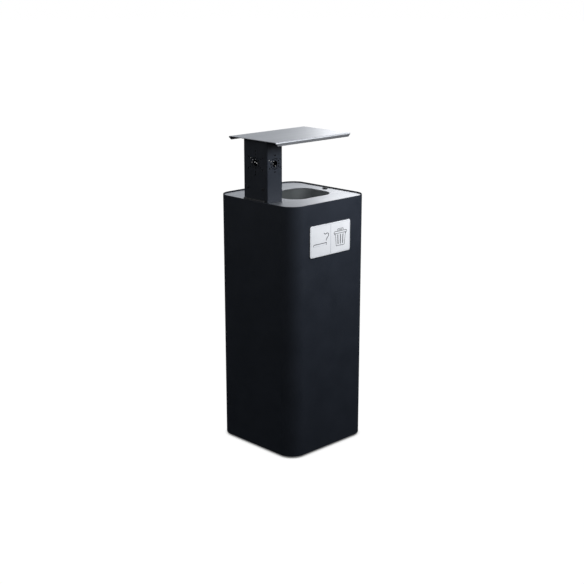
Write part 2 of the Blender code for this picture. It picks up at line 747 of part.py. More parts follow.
# ---------------------------------------------------------------- inside: liner and ash box
def make_liner():
    """A folded galvanised tub that stands on the base plate; its rim is rolled outward."""
    floor = LINER_FLOOR
    roll_z = LINER_TOP - ROLL / 2
    profile = [(-0.002, floor), (0, floor + 0.002), (0, roll_z - ROLL / 2)]
    for step in range(1, 6):
        angle = -math.pi / 2 + math.pi * step / 5
        out = ROLL / 2 * math.cos(angle) + ROLL / 2
        profile.append((out, roll_z + ROLL / 2 * math.sin(angle)))
    profile += [(-LINER_WALL, LINER_TOP), (-LINER_WALL, floor + LINER_WALL)]
    span_y = (-LINER_HALF_Y, LINER_HALF_Y)
    shape = swept_rect(profile, LINER_X, span_y, LINER_CORNER, False, 6)
    add_piece("waste_liner", shape, "galvanised")


def make_ash_cradle():
    """A hanger on the hinge-side wall with a shelf and a lip for the ash box."""
    shelf = ASH_BOTTOM - GAP
    front = ASH_X[1] + 0.004
    outline = (
        (-FITTED, CRADLE_TOP),
        (-FITTED, shelf - WALL),
        (front + WALL, shelf - WALL),
        (front + WALL, shelf + CRADLE_LIP),
        (front, shelf + CRADLE_LIP),
        (front, shelf),
        (-FITTED + WALL, shelf),
        (-FITTED + WALL, CRADLE_TOP),
    )
    cradle = prism(outline, -CRADLE_HALF, CRADLE_HALF, "Y")
    add_piece("ash_box_cradle", cradle, "galvanised")


def make_ash_box():
    profile = (
        (-0.002, ASH_BOTTOM),
        (0, ASH_BOTTOM + 0.002),
        (0, ASH_TOP),
        (-ASH_WALL, ASH_TOP),
        (-ASH_WALL, ASH_BOTTOM + 0.0025),
    )
    span_y = (-ASH_HALF_Y, ASH_HALF_Y)
    shape = swept_rect(profile, ASH_X, span_y, ASH_CORNER, False, 4)
    tray = add_piece("ash_box", shape, "galvanised")
    holes = [(sum(ASH_X) / 2, BAIL_Z, BAIL_WIRE + 0.0004)]
    side = ASH_HALF_Y + THROUGH
    boolean(tray, "bail_holes", cylinders(holes, -side, side, "Y", 12))


def make_bail(bail_pivot):
    """A wire handle whose turned-in ends sit in the ends of the ash box; it rests against its side."""
    side = ASH_HALF_Y + BAIL_WIRE + 0.0008
    inside = ASH_HALF_Y - ASH_WALL - 0.0035
    lean = math.acos((ASH_X[1] - bail_pivot.location.x + BAIL_WIRE + 0.0006) / BAIL_REACH)
    along = Vector((math.cos(lean), 0.0, -math.sin(lean)))
    corner = 3 * BAIL_WIRE
    route = [Vector((0, inside, 0)), Vector((0, side - 0.0005, 0)) + along * 0.0005]
    for step in range(5):
        angle = math.pi / 2 * step / 4
        reach = BAIL_REACH - corner + corner * math.sin(angle)
        across = side - corner + corner * math.cos(angle)
        route.append(Vector((0, across, 0)) + along * reach)
    route += [Vector((point.x, -point.y, point.z)) for point in reversed(route)]
    curve = bpy.data.curves.new("ash_box_bail", "CURVE")
    curve.dimensions = "3D"
    curve.bevel_depth = BAIL_WIRE
    curve.bevel_resolution = 2
    curve.use_fill_caps = True
    spline = curve.splines.new("POLY")
    spline.points.add(len(route) - 1)
    for point, place in zip(spline.points, route):
        point.co = (*place, 1.0)
    curve.materials.append(finish_for("ash_box_bail", "zinc"))
    bail = bpy.data.objects.new("ash_box_bail", curve)
    bpy.context.scene.collection.objects.link(bail)
    bail.parent = bail_pivot


def main():
    clear_scene()
    lid_pivot = add_pivot("lid_pivot", (HINGE_X, 0.0, HINGE_Z))
    lock_pivot = add_pivot("lock_pivot", (LOCK_X, 0.0, LID_TOP))
    bail_pivot = add_pivot("bail_pivot", (sum(ASH_X) / 2, 0.0, BAIL_Z))

    make_body_shell()
    make_base()
    make_feet()
    make_ledges()
    make_keeper()
    make_liner_rests()
    make_sign()
    make_hinge(lid_pivot)
    make_lid(lid_pivot)
    make_chute(lid_pivot)
    make_post(lid_pivot)
    make_post_bracket(lid_pivot)
    make_post_screws(lid_pivot)
    make_canopy(lid_pivot)
    make_canopy_mount(lid_pivot)
    make_lock(lid_pivot, lock_pivot)
    make_liner()
    make_ash_cradle()
    make_ash_box()
    make_bail(bail_pivot)


main()
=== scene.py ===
import json
import math

import bmesh
import bpy
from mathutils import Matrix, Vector
from mathutils.geometry import delaunay_2d_cdt


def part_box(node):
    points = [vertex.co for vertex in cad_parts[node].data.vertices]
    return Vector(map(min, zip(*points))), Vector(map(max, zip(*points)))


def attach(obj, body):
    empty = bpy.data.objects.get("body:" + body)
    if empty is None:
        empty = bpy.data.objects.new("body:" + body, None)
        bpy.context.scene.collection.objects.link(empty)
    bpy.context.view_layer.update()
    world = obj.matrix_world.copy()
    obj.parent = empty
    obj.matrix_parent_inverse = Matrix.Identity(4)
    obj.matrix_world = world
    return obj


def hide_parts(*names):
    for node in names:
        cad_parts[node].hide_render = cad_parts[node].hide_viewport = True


# Looks of the ashtray bin: fine surfaces over the CAD frame, finishes, the sign's pictograms,
# and the floor, lights and camera. Metres, +Z up; the sign faces -Y and the stub post is at -X.

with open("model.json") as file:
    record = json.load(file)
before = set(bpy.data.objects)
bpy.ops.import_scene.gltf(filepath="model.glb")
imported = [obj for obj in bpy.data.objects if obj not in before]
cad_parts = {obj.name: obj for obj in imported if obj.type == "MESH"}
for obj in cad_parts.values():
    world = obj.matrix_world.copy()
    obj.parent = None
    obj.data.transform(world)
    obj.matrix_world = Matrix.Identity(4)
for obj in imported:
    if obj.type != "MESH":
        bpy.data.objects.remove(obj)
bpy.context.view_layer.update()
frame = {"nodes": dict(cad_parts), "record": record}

# ---------------------------------------------------------------- sizes the frame's boxes don't give
SHEET = 0.002              # thickness of the folded sheets
SHARP = math.radians(35)   # an edge that turns more than this is a real edge
MERGE = 0.000001           # vertices nearer than this are one
CORNER_STEPS = 24          # on a large round corner
BEND_STEPS = 12            # on a small bend
EDGE_STEPS = 3             # on a rounded sheet edge
HOLE_SIDES = 48            # of a large round hole
SCREW_SIDES = 24           # of a screw's hole
PINHOLE_SIDES = 20         # of a small hole of the sun pattern
PATTERN = (0.3, 0.7)       # most values of a noise pattern lie between these
SPANGLE = 110              # zinc crystals in a metre

FINE_EDGE = 0.0003         # rounding of the small parts' edges
BODY_CORNER = 0.045
BODY_EDGE = 0.0006
LID_CORNER = 0.0418
LID_EDGE = 0.0005
NOTCH_REACH = 0.0044       # from the hinge's axis to the lid's notched edge
NOTCH_ROOM = 0.001         # past each end of the hinge
BUTT_HOLE = (-0.129, -0.096, -0.036, 0.036)
BUTT_HOLE_CORNER = 0.008
LOCK_HOLE = 0.0068
BRACKET_SCREW_HOLE = 0.0024
MOUTH_CORNER = 0.045
CHUTE_WALL = 0.0015
CHUTE_EDGE = 0.0004

LINER_CORNER = 0.030
LINER_WALL = 0.0012
LINER_ROLL = 0.003         # how far the rolled rim stands out
LINER_FOOT = 0.002         # radius under the tub's bottom edge
LINER_FILLET = 0.001       # inside, round its floor

HOLE_Z = 0.815             # centre of the stub holes
STUB_HOLE = 0.009
SMALL_HOLE = 0.0019
INNER_RING = 0.0142
OUTER_RINGS_WIDE = (0.0235, 0.0325)
OUTER_RINGS_NARROW = (0.0222,)
POST_CORNER = 0.0035
POST_WALL = 0.003
POST_SCREW_HOLE = 0.0021
POST_HOLE_EDGE = 0.0003

CANOPY_BEND = 0.004
CANOPY_EDGE = 0.0004
CANOPY_LIP_START = 0.001   # how far below the sheet the slant of a lip's end begins
LIP_SLANT = 1.025          # how far a lip's end is cut back for each metre below there

LOCK_SHANK = 0.0065
LOCK_SEAT = 0.0003         # between the lid and the head
LOCK_HEAD_SIDE = 0.0014    # height of the head's straight side
LOCK_CHAMFER = 0.0012
LOCK_PLUG_ROOM = 0.0003
LOCK_EDGE = 0.0002

SIGN_CORNER = 0.006
SIGN_EDGE = 0.0006
SIGN_BORDER = 0.003        # from the plate's edge to the printed line
INK_HEIGHT = 0.00012
INK_EDGE = 0.00003
MILLIMETRE = 0.001

FLOOR_RADIUS = 30.0
FLOOR_SIDES = 96
CONTACT_REACH = 0.016      # how far the soft contact shadow spreads
CARD_SIZE = (3.4, 1.9)

YAW = math.radians(-44.38)
PITCH = math.radians(15.68)
AIM = Vector((-0.001, 0.001, 0.4286))
DISTANCE = 3.257
LENS = 70.36

# ---------------------------------------------------------------- node helpers for materials


def add_node(tree, kind, settings=None, **inputs):
    made = tree.nodes.new(kind)
    for name, value in (settings or {}).items():
        setattr(made, name, value)
    for name, value in inputs.items():
        made.inputs[name.replace("_", " ")].default_value = value
    return made


def scaled_place(tree, scale):
    """Object coordinates stretched by a scale for each axis."""
    coordinates = add_node(tree, "ShaderNodeTexCoord")
    mapping = add_node(tree, "ShaderNodeMapping", Scale=scale)
    tree.links.new(coordinates.outputs["Object"], mapping.inputs["Vector"])
    return mapping.outputs["Vector"]


def noise(tree, scale, detail=3.0):
    texture = add_node(tree, "ShaderNodeTexNoise", Scale=1.0, Detail=detail)
    tree.links.new(scaled_place(tree, scale), texture.inputs["Vector"])
    return texture.outputs["Fac"]


def cells(tree, scale):
    texture = add_node(tree, "ShaderNodeTexVoronoi", Scale=1.0)
    tree.links.new(scaled_place(tree, scale), texture.inputs["Vector"])
    split = add_node(tree, "ShaderNodeSeparateColor")
    tree.links.new(texture.outputs["Color"], split.inputs["Color"])
    return split.outputs["Red"]


def ranged(tree, value, low, high, start=PATTERN[0], end=PATTERN[1]):
    """Spreads a pattern's middle range over low to high."""
    spread = add_node(tree, "ShaderNodeMapRange")
    for name, number in (("From Min", start), ("From Max", end), ("To Min", low), ("To Max", high)):
        spread.inputs[name].default_value = number
    tree.links.new(value, spread.inputs["Value"])
    return spread.outputs["Result"]


def tinted(tree, value, dark, light):
    """Blends from dark to light over a pattern's middle range."""
    ramp = add_node(tree, "ShaderNodeValToRGB")
    for stop, place, colour in zip(ramp.color_ramp.elements, PATTERN, (dark, light)):
        stop.position = place
        stop.color = (*colour, 1.0)
    tree.links.new(value, ramp.inputs["Fac"])
    return ramp.outputs["Color"]


def bumped(tree, value, depth, under=None):
    bump = add_node(tree, "ShaderNodeBump", Distance=depth, Strength=1.0)
    tree.links.new(value, bump.inputs["Height"])
    if under:
        tree.links.new(under, bump.inputs["Normal"])
    return bump.outputs["Normal"]


def material(name, metallic, colour, roughness, normal):
    """A Principled material; colour, roughness and normal are functions of its node tree."""
    made = bpy.data.materials.new(name)
    made.use_nodes = True
    tree = made.node_tree
    shader = tree.nodes["Principled BSDF"]
    shader.inputs["Metallic"].default_value = metallic
    for socket, source in (("Base Color", colour), ("Roughness", roughness), ("Normal", normal)):
        tree.links.new(source(tree), shader.inputs[socket])
    return made


def alike(value):
    return (value, value, value)


# ---------------------------------------------------------------- materials


def powder_coat(name, dark, light, roughness):
    """Fine-grained powder coat: a slight orange peel over a fine texture."""
    return material(
        name,
        0.0,
        lambda tree: tinted(tree, noise(tree, alike(14)), dark, light),
        lambda tree: ranged(tree, noise(tree, alike(40)), roughness - 0.04, roughness + 0.04),
        lambda tree: bumped(
            tree,
            noise(tree, alike(1600), 2.0),
            0.00004,
            bumped(tree, noise(tree, alike(260), 2.0), 0.00008),
        ),
    )


def brushed_steel(name, dark, light, roughness, depth):
    """Satin stainless sheet with fine lines along X and a few longer, fainter ones."""
    fine = (5, 900, 900)
    long = (1.5, 160, 160)
    return material(
        name,
        1.0,
        lambda tree: tinted(tree, noise(tree, long, 5.0), dark, light),
        lambda tree: ranged(tree, noise(tree, fine, 4.0), roughness - 0.04, roughness + 0.04),
        lambda tree: bumped(tree, noise(tree, fine, 4.0), depth),
    )


def zinc_coated(name, metallic, colour, roughness):
    """Zinc-coated sheet: flat crystals of slightly different gloss, with a faint grain."""
    crystals = alike(SPANGLE)
    return material(
        name,
        metallic,
        colour,
        lambda tree: ranged(tree, cells(tree, crystals), roughness - 0.03, roughness + 0.03, 0, 1),
        lambda tree: bumped(tree, noise(tree, alike(500)), 0.00003),
    )


def galvanised(name, dark, light, roughness, metallic):
    """New zinc-coated sheet, whose crystals differ slightly in grey too."""

    def colour(tree):
        return tinted(tree, cells(tree, alike(SPANGLE)), dark, light)

    return zinc_coated(name, metallic, colour, roughness)


def zinc_painted_light(name, dark, light, roughness, metallic, start, end):
    """Dull zinc-coated sheet with painted light and shade: paler towards the end of a stretch of X minus
    Y.
    """

    def colour(tree):
        coordinates = add_node(tree, "ShaderNodeTexCoord")
        across = add_node(tree, "ShaderNodeVectorMath", {"operation": "DOT_PRODUCT"})
        across.inputs[1].default_value = (1.0, -1.0, 0.0)
        tree.links.new(coordinates.outputs["Object"], across.inputs[0])
        return tinted(tree, ranged(tree, across.outputs["Value"], *PATTERN, start, end), dark, light)

    return zinc_coated(name, metallic, colour, roughness)


def plated(name, dark, light, roughness, metallic=1.0):
    """Plated hardware with slight clouding and fine handling marks."""
    return material(
        name,
        metallic,
        lambda tree: tinted(tree, noise(tree, alike(220)), dark, light),
        lambda tree: ranged(tree, noise(tree, alike(700)), roughness - 0.07, roughness + 0.07),
        lambda tree: bumped(tree, noise(tree, alike(2400)), 0.00001),
    )


def moulded_rubber(name):
    return material(
        name,
        0.0,
        lambda tree: tinted(tree, noise(tree, alike(90)), alike(0.012), (0.022, 0.021, 0.020)),
        lambda tree: ranged(tree, noise(tree, alike(300)), 0.72, 0.86),
        lambda tree: bumped(tree, noise(tree, alike(1800)), 0.00006),
    )


def enamel(name, dark, light, roughness):
    return material(
        name,
        0.0,
        lambda tree: tinted(tree, noise(tree, alike(30)), dark, light),
        lambda tree: ranged(tree, noise(tree, alike(200)), roughness - 0.03, roughness + 0.03),
        lambda tree: bumped(tree, noise(tree, alike(700), 1.0), 0.00001),
    )


STEEL = ((0.50, 0.51, 0.54), (0.60, 0.61, 0.64))
MATERIALS = {
    "body_paint": powder_coat("body_paint", (0.014, 0.017, 0.024), (0.019, 0.0225, 0.031), 0.50),
    "lid_steel": brushed_steel("lid_steel", *STEEL, 0.40, 0.000005),
    "canopy_steel": brushed_steel("canopy_steel", *STEEL, 0.38, 0.0000015),
    "galvanised_sheet": galvanised("galvanised_sheet", (0.41, 0.43, 0.44), (0.50, 0.52, 0.53), 0.5, 0.6),
    "zinc_hardware": plated("zinc_hardware", (0.48, 0.48, 0.46), (0.62, 0.61, 0.58), 0.32),
    "black_hardware": plated("black_hardware", (0.008, 0.008, 0.009), (0.015, 0.015, 0.017), 0.50, 0.2),
    "rubber": moulded_rubber("rubber"),
    "sign_face": enamel("sign_face", (0.70, 0.695, 0.705), (0.76, 0.75, 0.76), 0.32),
}
# The chute's zinc, with painted light and shade: paler on its +X side and darker on its +Y side inside
# the mouth.
CHUTE_ZINC_WITH_PAINTED_LIGHT = zinc_painted_light(
    "chute_painted_light_and_shade", (0.084, 0.090, 0.090), (0.330, 0.345, 0.345), 0.6, 0.3, -0.01, 0.13
)
# Near-black, rough paint for the post's hole walls: painted shade inside the holes.
HOLE_PAINTED_SHADE = powder_coat("post_hole_painted_shade", alike(0.002), alike(0.003), 0.85)
INK = enamel("sign_ink", (0.035, 0.036, 0.042), (0.050, 0.052, 0.060), 0.45)
INK_PALE = enamel("sign_ink_pale", (0.40, 0.41, 0.45), (0.46, 0.47, 0.51), 0.45)

# ---------------------------------------------------------------- pieces
BODIES = frame["record"]["behaviour"]["bodies"]
BODY_OF = {node: body for body, nodes in BODIES.items() for node in nodes}
SLOT_OF = {entry["node"]: entry["material_slot"] for entry in frame["record"]["subparts"]}


def add_piece(
    name, shape, node, slot=None, stands_for=True, finish=None, edge=0.0, segments=2, in_holes=None
):
    """A piece from a bmesh in the row frame, on a CAD node's body and usually standing for that node."""
    slot = slot or SLOT_OF[node]
    bmesh.ops.remove_doubles(shape, verts=shape.verts, dist=MERGE)
    bmesh.ops.recalc_face_normals(shape, faces=shape.faces)
    mesh = bpy.data.meshes.new(name)
    shape.to_mesh(mesh)
    shape.free()
    mesh.shade_smooth()
    mesh.set_sharp_from_angle(angle=SHARP)
    mesh.materials.append(finish or MATERIALS[slot])
    if in_holes:
        mesh.materials.append(in_holes)
    piece = bpy.data.objects.new(name, mesh)
    bpy.context.scene.collection.objects.link(piece)
    if edge:
        bevel = piece.modifiers.new("rounded_edges", "BEVEL")
        bevel.width = edge
        bevel.segments = segments
        bevel.limit_method = "ANGLE"
        bevel.angle_limit = SHARP
        bevel.harden_normals = True
    weighted = piece.modifiers.new("flat_faces", "WEIGHTED_NORMAL")
    weighted.keep_sharp = True
    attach(piece, BODY_OF[node])
    if stands_for:
        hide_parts(node)


def add_refined(node, edge=FINE_EDGE):
    """The CAD node again, with rounded edges and smooth round sides."""
    flat = math.radians(0.5)
    shape = bmesh.new()
    shape.from_mesh(frame["nodes"][node].data)
    bmesh.ops.remove_doubles(shape, verts=shape.verts, dist=MERGE)
    bmesh.ops.dissolve_limit(shape, angle_limit=flat, verts=shape.verts, edges=shape.edges)
    add_piece(f"fine_{node}", shape, node, edge=edge)


def middle_of(node):
    low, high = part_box(node)
    return (low + high) / 2


# ---------------------------------------------------------------- outlines
ALONG = {
    "X": lambda u, v, w: (w, u, v),
    "Y": lambda u, v, w: (u, w, v),
    "Z": lambda u, v, w: (u, v, w),
}


def rounded_rect(low_u, high_u, low_v, high_v, radius, steps=CORNER_STEPS):
    """Points of a rectangle with round corners, anticlockwise."""
    centres = (
        (high_u - radius, high_v - radius),
        (low_u + radius, high_v - radius),
        (low_u + radius, low_v + radius),
        (high_u - radius, low_v + radius),
    )
    points = []
    for corner, (u, v) in enumerate(centres):
        for step in range(steps + 1):
            angle = math.pi / 2 * (corner + step / steps)
            points.append((u + radius * math.cos(angle), v + radius * math.sin(angle)))
    return points


def circle(u, v, radius, sides):
    angles = (2 * math.pi * side / sides for side in range(sides))
    return [(u + radius * math.cos(angle), v + radius * math.sin(angle)) for angle in angles]


def inset(points, distance):
    """Moves a closed outline towards its left side, which is inwards if it runs anticlockwise."""
    moved = []
    for index, point in enumerate(points):
        here = Vector(point)
        before = (here - Vector(points[index - 1])).normalized()
        after = (Vector(points[(index + 1) % len(points)]) - here).normalized()
        side = Vector((-before.y, before.x))
        middle = (side + Vector((-after.y, after.x))).normalized()
        moved.append(tuple(here + middle * distance / middle.dot(side)))
    return moved


def node_rect(node, radius, grow=0.0):
    """A node's outline seen from above, as a rectangle with round corners."""
    low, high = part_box(node)
    return rounded_rect(low.x - grow, high.x + grow, low.y - grow, high.y + grow, radius + grow)


# ---------------------------------------------------------------- solids


def skin(shape, rings, around=True, finish_number=0):
    """Faces between equal rings of vertices, in the piece's first or a later finish."""
    for lower, upper in zip(rings, rings[1:]):
        count = len(lower) if around else len(lower) - 1
        for here in range(count):
            after = (here + 1) % len(lower)
            face = shape.faces.new((lower[here], lower[after], upper[after], upper[here]))
            face.material_index = finish_number


def level_ring(shape, points, height):
    return [shape.verts.new((u, v, height)) for u, v in points]


def rings_round(shape, outline, profile):
    """Rings of vertices for a profile of (distance outward, height) round an anticlockwise outline."""
    return [level_ring(shape, inset(outline, -out), height) for out, height in profile]


def ring_wall(outline, profile):
    """Carries a closed profile of (distance outward, height) round an anticlockwise outline."""
    shape = bmesh.new()
    rings = rings_round(shape, outline, profile)
    skin(shape, [*rings, rings[0]])
    return shape


def edge_levels(low, high, edge):
    """(inset, height) pairs from one face of a sheet to the other, round both of its edges."""
    levels = []
    for step in range(EDGE_STEPS + 1):
        angle = math.pi / 2 * step / EDGE_STEPS
        levels.append((edge * (1 - math.sin(angle)), low + edge * (1 - math.cos(angle))))
    return levels + [(into, low + high - height) for into, height in reversed(levels)]


def fill(shape, rims):
    """Flat triangles inside the first rim and outside the others; a rim is (points, vertices)."""
    points, corners, owners, edges = [], [], [], []
    for owner, (outline, vertices) in enumerate(rims):
        first, count = len(points), len(outline)
        points += [Vector(point) for point in outline]
        corners += vertices
        owners += [owner] * count
        edges += [(first + here, first + (here + 1) % count) for here in range(count)]
    boundary = list(range(len(rims[0][0])))
    inside_boundary = 1
    found = delaunay_2d_cdt(points, edges, [boundary], inside_boundary, MERGE)
    triangles, sources = found[2], found[3]
    for triangle in triangles:
        indices = [sources[index][0] for index in triangle]
        rings = {owners[index] for index in indices}
        if rings == {0} or len(rings) > 1:
            shape.faces.new([corners[index] for index in indices])


def add_sheet(shape, place, outline, holes, low, high, edge, closed=True, hole_finish=0):
    """A flat sheet between two heights with round-edged holes; a closed one has an outer edge too."""
    lower_rims, upper_rims = [], []
    for number, loop in enumerate([outline, *[hole[::-1] for hole in holes]]):
        open_loop = number == 0 and not closed
        levels = [(0, low), (0, high)] if open_loop else edge_levels(low, high, edge)
        rims = []
        for into, height in levels:
            points = inset(loop, into)
            rims.append((points, [shape.verts.new(place(u, v, height)) for u, v in points]))
        if not open_loop:
            finish_number = hole_finish if number else 0
            skin(shape, [vertices for _, vertices in rims], finish_number=finish_number)
        lower_rims.append(rims[0])
        upper_rims.append(rims[-1])
    fill(shape, lower_rims)
    fill(shape, upper_rims)


def sheet(outline, holes, low, high, edge, along="Z"):
    shape = bmesh.new()
    add_sheet(shape, ALONG[along], outline, holes, low, high, edge)
    return shape


# ---------------------------------------------------------------- body and lid


def make_body():
    low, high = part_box("body_shell")
    profile = ((0, low.z), (0, high.z), (-SHEET, high.z), (-SHEET, low.z))
    shape = ring_wall(node_rect("body_shell", BODY_CORNER), profile)
    add_piece("fine_body_shell", shape, "body_shell", edge=BODY_EDGE, segments=3)


def lid_outline():
    """The lid's edge, with the notch for the hinge in its -X side."""
    low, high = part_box("lid_plate")
    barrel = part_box("hinge_pin")
    notch_x = (barrel[0].x + barrel[1].x) / 2 + NOTCH_REACH
    half = barrel[1].y + NOTCH_ROOM
    points = rounded_rect(low.x, high.x, low.y, high.y, LID_CORNER)
    cut = 2 * (CORNER_STEPS + 1)
    notch = [(low.x, half), (notch_x, half), (notch_x, -half), (low.x, -half)]
    return points[:cut] + notch + points[cut:]


def mouth_outline():
    low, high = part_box("waste_chute")
    return rounded_rect(
        low.x + CHUTE_WALL, high.x - CHUTE_WALL, low.y + CHUTE_WALL, high.y - CHUTE_WALL, MOUTH_CORNER
    )


def make_lid():
    low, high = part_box("lid_plate")
    lock = middle_of("lock_plug")
    holes = [
        mouth_outline(),
        rounded_rect(*BUTT_HOLE, BUTT_HOLE_CORNER, 8),
        circle(lock.x, lock.y, LOCK_HOLE, HOLE_SIDES),
    ]
    for number in range(1, 5):
        screw = middle_of(f"bracket_screw_{number}")
        holes.append(circle(screw.x, screw.y, BRACKET_SCREW_HOLE, SCREW_SIDES))
    shape = sheet(lid_outline(), holes, low.z, high.z, LID_EDGE)
    add_piece("fine_lid_plate", shape, "lid_plate")


def make_chute():
    low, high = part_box("waste_chute")
    profile = ((CHUTE_WALL, low.z), (CHUTE_WALL, high.z), (0, high.z), (0, low.z))
    shape = ring_wall(mouth_outline(), profile)
    # Its zinc has painted light and shade: paler towards +X, darker towards +Y.
    add_piece("fine_waste_chute", shape, "waste_chute", finish=CHUTE_ZINC_WITH_PAINTED_LIGHT, edge=CHUTE_EDGE)


def make_liner():
    """The tub, with its rim rolled outward."""
    low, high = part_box("waste_liner")
    outline = node_rect("waste_liner", LINER_CORNER, -LINER_ROLL)
    roll = LINER_ROLL / 2
    round_off = 0.3 * LINER_FOOT
    profile = [
        (-LINER_FOOT, low.z),
        (-round_off, low.z + round_off),
        (0, low.z + LINER_FOOT),
        (0, high.z - 2 * roll),
    ]
    for step in range(1, BEND_STEPS + 1):
        angle = -math.pi / 2 + math.pi * step / BEND_STEPS
        profile.append((roll + roll * math.cos(angle), high.z - roll + roll * math.sin(angle)))
    profile.append((-LINER_WALL, high.z))
    profile.append((-LINER_WALL, low.z + LINER_WALL + LINER_FILLET))
    profile.append((-LINER_WALL - LINER_FILLET, low.z + LINER_WALL))
    shape = bmesh.new()
    rings = rings_round(shape, outline, profile)
    skin(shape, rings)
    shape.faces.new(rings[0])
    shape.faces.new(rings[-1])
    add_piece("fine_waste_liner", shape, "waste_liner")


# ---------------------------------------------------------------- post


def sun_pattern(middle, outer_rings):
    """A stub hole with a ring of twelve small holes, and six rays of further ones."""
    holes = [circle(middle, HOLE_Z, STUB_HOLE, HOLE_SIDES)]
    for count, ring in [(12, INNER_RING)] + [(6, ring) for ring in outer_rings]:
        for index in range(count):
            angle = math.pi / 2 + 2 * math.pi * index / count
            u, v = middle + ring * math.cos(angle), HOLE_Z + ring * math.sin(angle)
            holes.append(circle(u, v, SMALL_HOLE, PINHOLE_SIDES))
    return holes


def make_post():
    """Four perforated walls joined by round corners."""
    low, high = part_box("stub_post")
    screw_holes = []
    for name in ("post_screw_front", "post_screw_back"):
        screw = middle_of(name)
        screw_holes.append(circle(screw.y, screw.z, POST_SCREW_HOLE, SCREW_SIDES))
    wide = sun_pattern(middle_of("stub_post").y, OUTER_RINGS_WIDE)
    narrow = sun_pattern(middle_of("stub_post").x, OUTER_RINGS_NARROW)
    wide_span = (low.y + POST_CORNER, high.y - POST_CORNER)
    narrow_span = (low.x + POST_CORNER, high.x - POST_CORNER)
    walls = (
        ("X", wide_span, wide + screw_holes, low.x, low.x + POST_WALL),
        ("X", wide_span, wide, high.x - POST_WALL, high.x),
        ("Y", narrow_span, narrow, low.y, low.y + POST_WALL),
        ("Y", narrow_span, narrow, high.y - POST_WALL, high.y),
    )
    shape = bmesh.new()
    for along, (start, end), holes, near, far in walls:
        outline = [(start, low.z), (end, low.z), (end, high.z), (start, high.z)]
        sizes = (near, far, POST_HOLE_EDGE)
        add_sheet(shape, ALONG[along], outline, holes, *sizes, closed=False, hole_finish=1)
    steps = 8
    outer = rounded_rect(low.x, high.x, low.y, high.y, POST_CORNER, steps)
    inner = inset(outer, POST_WALL)
    for corner in range(4):
        arc = range(corner * (steps + 1), (corner + 1) * (steps + 1))
        for side in (outer, inner):
            rings = [[shape.verts.new((*side[index], z)) for index in arc] for z in (low.z, high.z)]
            skin(shape, rings, around=False)
    for z in (low.z, high.z):
        skin(shape, [level_ring(shape, side, z) for side in (outer, inner)])
    # The hole walls get the near-black painted shade.
    add_piece("fine_stub_post", shape, "stub_post", in_holes=HOLE_PAINTED_SHADE)


# ---------------------------------------------------------------- canopy


def make_canopy():
    """A sheet with both long edges bent down; the ends of the bent lips are cut back at a slant."""
    low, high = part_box("rain_canopy")
    small = CANOPY_BEND - SHEET
    outer, inner = [], []
    for step in range(BEND_STEPS + 1):
        angle = math.pi / 2 * (1 - step / BEND_STEPS)
        across, up = math.cos(angle), math.sin(angle)
        outer.append((high.y - CANOPY_BEND * (1 - across), high.z - CANOPY_BEND * (1 - up)))
        inner.append((high.y - CANOPY_BEND + small * across, high.z - CANOPY_BEND + small * up))
    outer.append((high.y, low.z))
    inner.append((high.y - SHEET, low.z))
    outer = [(-y, z) for y, z in outer[::-1]] + outer
    inner = [(-y, z) for y, z in inner[::-1]] + inner
    shape = bmesh.new()
    start = high.z - SHEET - CANOPY_LIP_START
    ends = []
    for end, inward in ((low.x, LIP_SLANT), (high.x, -LIP_SLANT)):
        rows = []
        for side in (outer, inner):
            rows.append([shape.verts.new((end + inward * max(0, start - z), y, z)) for y, z in side])
        ends.append(rows)
    for rows in ends:
        skin(shape, rows, around=False)
    for left, right in zip(*ends):
        skin(shape, [left, right], around=False)
    for index in (0, -1):
        shape.faces.new((ends[0][0][index], ends[1][0][index], ends[1][1][index], ends[0][1][index]))
    add_piece("fine_rain_canopy", shape, "rain_canopy", edge=CANOPY_EDGE)


# ---------------------------------------------------------------- sign


def stroke(points, width, closed=False):
    """A flat line of constant width: one outline with round ends, or two for a closed line."""
    half = width / 2
    count = len(points)
    sides = []
    for turn in (1, -1):
        side = []
        for index, point in enumerate(points):
            here = Vector(point)
            before = Vector(points[index - 1]) if closed or index else None
            after = Vector(points[(index + 1) % count]) if closed or index < count - 1 else None
            steps = []
            if before is not None:
                steps.append((here - before).normalized())
            if after is not None:
                steps.append((after - here).normalized())
            normals = [Vector((-step.y, step.x)) for step in steps]
            middle = sum(normals, Vector((0, 0))).normalized()
            side.append(tuple(here + turn * middle * half / middle.dot(normals[0])))
        sides.append(side)
    if closed:
        return sides
    left, right = sides
    far_cap = end_cap(points[-1], right[-1], half)
    near_cap = end_cap(points[0], left[0], half)
    return [[*right, *far_cap, *left[::-1], *near_cap]]


def end_cap(tip, first, half, steps=8):
    """The points after the first on a half circle round a line's tip, anticlockwise."""
    start = math.atan2(first[1] - tip[1], first[0] - tip[0])
    angles = (start + math.pi * step / steps for step in range(1, steps))
    return [(tip[0] + half * math.cos(angle), tip[1] + half * math.sin(angle)) for angle in angles]


def smooth(points, steps=6):
    """A Catmull-Rom curve through all the points."""
    knots = [Vector(point) for point in (points[0], *points, points[-1])]
    curve = []
    for before, start, end, after in zip(knots, knots[1:], knots[2:], knots[3:]):
        for step in range(steps):
            t = step / steps
            curve.append(
                tuple(
                    start
                    + (end - before) * t / 2
                    + (before - 2.5 * start + 2 * end - after / 2) * t**2
                    + (1.5 * (start - end) + (after - before) / 2) * t**3
                )
            )
    return [*curve, points[-1]]


def print_lines(name, lines, finish):
    """Raised ink lines on the sign; a line is (points, width, closed)."""
    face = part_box("sign_plate")[0].y
    shape = bmesh.new()
    for points, width, closed in lines:
        loops = [anticlockwise(loop) for loop in stroke(points, width, closed)]
        outline, *holes = sorted(loops, key=area, reverse=True)
        add_sheet(shape, ALONG["Y"], outline, holes, face - INK_HEIGHT, face, INK_EDGE)
    add_piece(name, shape, "sign_plate", "sign_face", stands_for=False, finish=finish)


